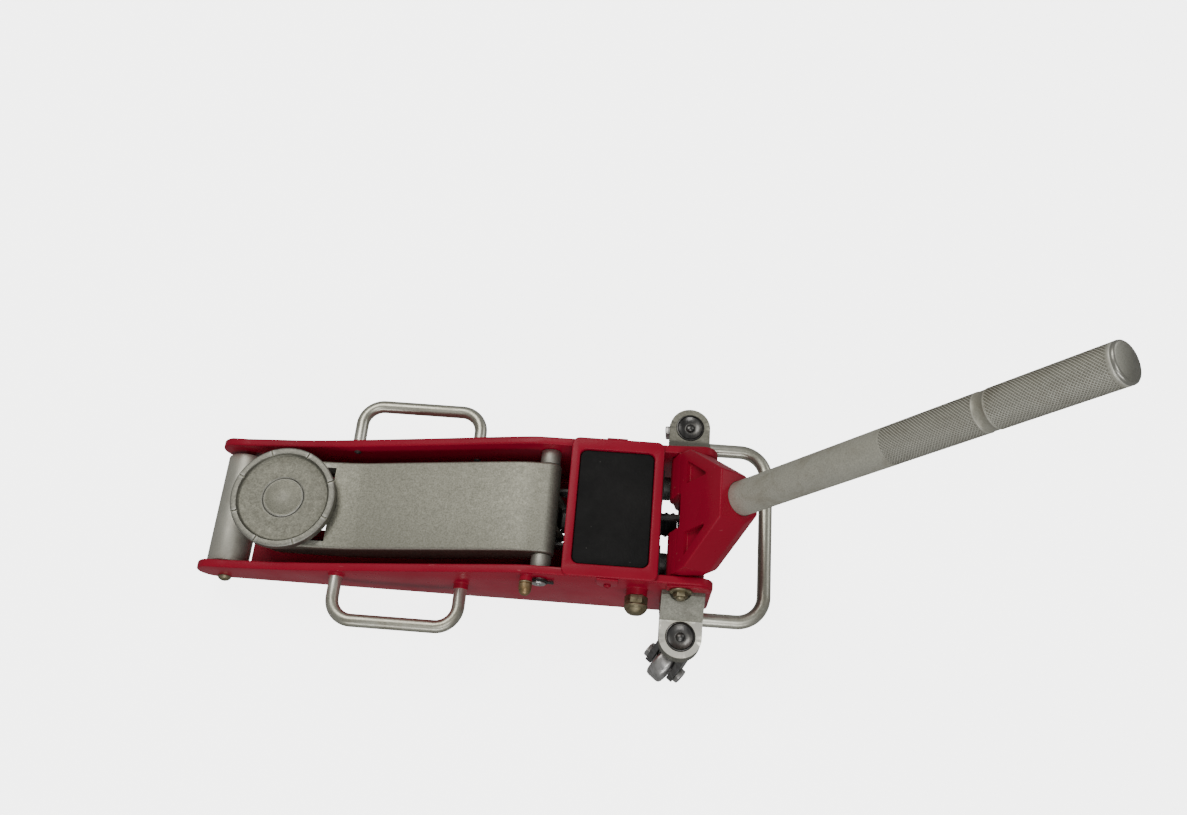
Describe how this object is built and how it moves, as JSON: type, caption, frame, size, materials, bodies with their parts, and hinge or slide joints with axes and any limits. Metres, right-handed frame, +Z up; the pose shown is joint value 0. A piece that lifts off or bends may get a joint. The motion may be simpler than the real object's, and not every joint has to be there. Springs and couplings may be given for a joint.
{
  "type": "floor jack",
  "caption": "Low-profile hydraulic floor jack: red side plates, cast lift arm with a round saddle, side handles, swivel casters and a pump handle.",
  "frame": {"origin": "on the floor, under the centre of the whole object's box, on the mid-plane between the side plates", "axes": "+X from the saddle end towards the pump handle, +Y to the right-hand side plate, +Z up"},
  "size_m": [0.7126, 0.2688, 0.4575],
  "materials": {
    "red_paint": "glossy deep red enamel with scuffed edges",
    "cast_aluminium": "blasted cast aluminium, matte grey, lightly stained",
    "satin_tube": "satin tube, handled and slightly dirty",
    "plain_steel": "plain turned steel with a dull film of oil",
    "yellow_zinc": "dull yellow zinc plating, dirty",
    "fork_steel": "dull pressed steel",
    "dark_iron": "dark oiled cast iron",
    "black_rubber": "black moulded rubber, finely pebbled"
  },
  "bodies": {
    "frame": {"left_side_plate": "red_paint", "right_side_plate": "red_paint", "cover": "red_paint", "left_cover_screw": "red_paint", "right_cover_screw": "red_paint", "left_caster_bracket": "cast_aluminium", "right_caster_bracket": "cast_aluminium", "left_pivot_collar": "cast_aluminium", "right_pivot_collar": "cast_aluminium", "left_side_handle": "satin_tube", "right_side_handle": "satin_tube", "rear_handle": "satin_tube", "lift_pivot_shaft": "plain_steel", "left_rod_pin": "plain_steel", "right_rod_pin": "plain_steel", "ram_gland": "plain_steel", "left_return_spring": "plain_steel", "right_return_spring": "plain_steel", "front_axle": "yellow_zinc", "front_axle_nut": "yellow_zinc", "left_pump_bolt": "yellow_zinc", "right_pump_bolt": "yellow_zinc", "left_yoke_bolt": "yellow_zinc", "right_yoke_bolt": "yellow_zinc", "left_stud": "yellow_zinc", "left_stem_bolt": "yellow_zinc", "right_stem_bolt": "yellow_zinc", "hydraulic_body": "dark_iron", "left_pivot_circlip": "dark_iron", "right_pivot_circlip": "dark_iron", "cover_pad": "black_rubber"},
    "front_roller": {"front_roller": "plain_steel"},
    "lift_arm": {"lift_arm": "cast_aluminium", "saddle_pin": "plain_steel", "heel_pin": "plain_steel"},
    "saddle_carrier": {"saddle_carrier": "dark_iron", "rod_front_pin": "plain_steel"},
    "saddle": {"saddle": "cast_aluminium", "saddle_cap": "cast_aluminium"},
    "levelling_rods": {"left_levelling_rod": "plain_steel", "right_levelling_rod": "plain_steel"},
    "lift_ram": {"ram_rod": "plain_steel", "ram_head": "plain_steel"},
    "pump_plunger": {"pump_plunger": "plain_steel", "plunger_boot": "black_rubber"},
    "handle_yoke": {"handle_yoke": "red_paint", "push_pin": "plain_steel"},
    "handle": {"handle": "satin_tube", "handle_end_cap": "satin_tube", "release_link": "plain_steel"},
    "release_valve": {"release_valve": "plain_steel"},
    "left_caster": {"left_caster_fork": "fork_steel", "left_caster_axle": "plain_steel"},
    "right_caster": {"right_caster_fork": "fork_steel", "right_caster_axle": "plain_steel"},
    "left_caster_wheel": {"left_caster_wheel": "plain_steel"},
    "right_caster_wheel": {"right_caster_wheel": "plain_steel"}
  },
  "joints": [
    {"name": "front_roller_spin", "type": "hinge", "parent": "frame", "child": "front_roller", "pos_m": [-0.3345, 0, 0.0195], "axis": [0, 1, 0], "continuous": true},
    {"name": "lift", "type": "hinge", "parent": "frame", "child": "lift_arm", "pos_m": [-0.0293, 0, 0.0905], "axis": [0, 1, 0], "range_deg": [0, 72]},
    {"name": "saddle_carrier_pivot", "type": "hinge", "parent": "lift_arm", "child": "saddle_carrier", "pos_m": [-0.2769, 0, 0.048], "axis": [0, 1, 0], "range_deg": [-72.5, 0.5]},
    {"name": "saddle_spin", "type": "hinge", "parent": "saddle_carrier", "child": "saddle", "pos_m": [-0.2769, 0, 0.07], "axis": [0, 0, 1], "continuous": true},
    {"name": "levelling_rod_pivot", "type": "hinge", "parent": "frame", "child": "levelling_rods", "pos_m": [-0.0389, 0, 0.0707], "axis": [0, 1, 0], "range_deg": [-0.5, 72.5]},
    {"name": "ram_stroke", "type": "slide", "parent": "frame", "child": "lift_ram", "axis": [-1, 0, 0], "range_m": [-0.0005, 0.0372], "deforming": ["left_return_spring", "right_return_spring"]},
    {"name": "handle_pump", "type": "hinge", "parent": "frame", "child": "handle_yoke", "pos_m": [0.0965, 0, 0.0955], "axis": [0, 1, 0], "range_deg": [-22, 40]},
    {"name": "plunger_stroke", "type": "slide", "parent": "frame", "child": "pump_plunger", "axis": [-1, 0, 0], "range_m": [-0.008, 0.0145]},
    {"name": "handle_twist", "type": "hinge", "parent": "handle_yoke", "child": "handle", "pos_m": [0.21122, 0, 0.25933], "axis": [0.5736, 0, 0.8192], "range_deg": [-180, 0]},
    {"name": "release_valve_turn", "type": "hinge", "parent": "frame", "child": "release_valve", "pos_m": [0.0965, 0, 0.0955], "axis": [1, 0, 0], "range_deg": [-180.5, 0.5]},
    {"name": "left_caster_swivel", "type": "hinge", "parent": "frame", "child": "left_caster", "pos_m": [0.0994, -0.1012, 0.047], "axis": [0, 0, 1], "continuous": true},
    {"name": "right_caster_swivel", "type": "hinge", "parent": "frame", "child": "right_caster", "pos_m": [0.0994, 0.1012, 0.047], "axis": [0, 0, 1], "continuous": true},
    {"name": "left_wheel_spin", "type": "hinge", "parent": "left_caster", "child": "left_caster_wheel", "pos_m": [0.08882, -0.1145, 0.018], "axis": [0.7826, -0.6225, 0], "continuous": true},
    {"name": "right_wheel_spin", "type": "hinge", "parent": "right_caster", "child": "right_caster_wheel", "pos_m": [0.09777, 0.11812, 0.018], "axis": [-0.9954, -0.0958, 0], "continuous": true}
  ],
  "couplings": [
    {"joint": "saddle_carrier_pivot", "follows": "lift", "ratio": -1},
    {"joint": "levelling_rod_pivot", "follows": "lift", "ratio": 1},
    {"joint": "ram_stroke", "follows": "lift", "m_per_rad": 0.02912},
    {"joint": "plunger_stroke", "follows": "handle_pump", "m_per_rad": 0.02},
    {"joint": "release_valve_turn", "follows": "handle_twist", "ratio": 1}
  ]
}
